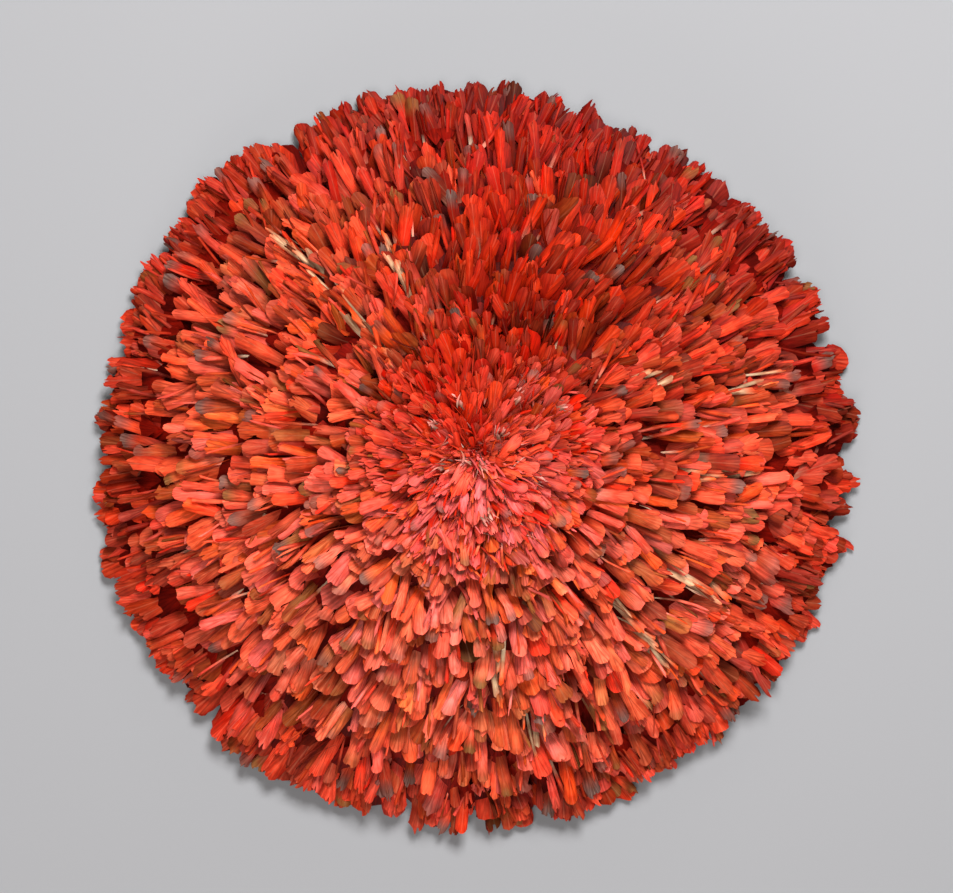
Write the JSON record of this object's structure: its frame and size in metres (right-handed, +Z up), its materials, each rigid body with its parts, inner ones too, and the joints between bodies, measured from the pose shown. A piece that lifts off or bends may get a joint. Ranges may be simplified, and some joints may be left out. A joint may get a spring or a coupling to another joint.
{
  "type": "feather headdress",
  "caption": "Round ceremonial headdress opened out like an umbrella: a fibre cap for the head and a flared fibre brim, covered all over in shingled red feathers with a tufted crown.",
  "frame": {"origin": "on the resting surface, under the middle of the round outline of the feathers", "axes": "+Z up out of the crown, the short way through the headdress; +X to the picture's right and +Y to its upper edge, as the crown is seen from straight above"},
  "size_m": [0.7075, 0.6949, 0.178],
  "materials": {
    "knotted_fibre": "matte",
    "coiled_fibre": "matte",
    "tail_feathers": "matte",
    "crown_feathers": "matte"
  },
  "bodies": {
    "root": {"cap": "knotted_fibre", "brim": "coiled_fibre", "feather_spoke_01": "tail_feathers", "feather_spoke_02": "tail_feathers", "feather_spoke_03": "tail_feathers", "feather_spoke_04": "tail_feathers", "feather_spoke_05": "tail_feathers", "feather_spoke_06": "tail_feathers", "feather_spoke_07": "tail_feathers", "feather_spoke_08": "tail_feathers", "feather_spoke_09": "tail_feathers", "feather_spoke_10": "tail_feathers", "feather_spoke_11": "tail_feathers", "feather_spoke_12": "tail_feathers", "feather_spoke_13": "tail_feathers", "feather_spoke_14": "tail_feathers", "feather_spoke_15": "tail_feathers", "feather_spoke_16": "tail_feathers", "feather_spoke_17": "tail_feathers", "feather_spoke_18": "tail_feathers", "feather_spoke_19": "tail_feathers", "feather_spoke_20": "tail_feathers", "feather_spoke_21": "tail_feathers", "feather_spoke_22": "tail_feathers", "feather_spoke_23": "tail_feathers", "feather_spoke_24": "tail_feathers", "feather_spoke_25": "tail_feathers", "feather_spoke_26": "tail_feathers", "feather_spoke_27": "tail_feathers", "feather_spoke_28": "tail_feathers", "feather_spoke_29": "tail_feathers", "feather_spoke_30": "tail_feathers", "feather_spoke_31": "tail_feathers", "feather_spoke_32": "tail_feathers", "feather_spoke_33": "tail_feathers", "feather_spoke_34": "tail_feathers", "feather_spoke_35": "tail_feathers", "feather_spoke_36": "tail_feathers", "feather_spoke_37": "tail_feathers", "feather_spoke_38": "tail_feathers", "feather_spoke_39": "tail_feathers", "feather_spoke_40": "tail_feathers", "feather_spoke_41": "tail_feathers", "feather_spoke_42": "tail_feathers", "feather_spoke_43": "tail_feathers", "feather_spoke_44": "tail_feathers", "feather_spoke_45": "tail_feathers", "feather_spoke_46": "tail_feathers", "feather_spoke_47": "tail_feathers", "feather_spoke_48": "tail_feathers", "crown_ring_1": "crown_feathers", "crown_ring_2": "crown_feathers", "crown_ring_3": "crown_feathers", "crown_tuft": "crown_feathers"}
  },
  "joints": []
}
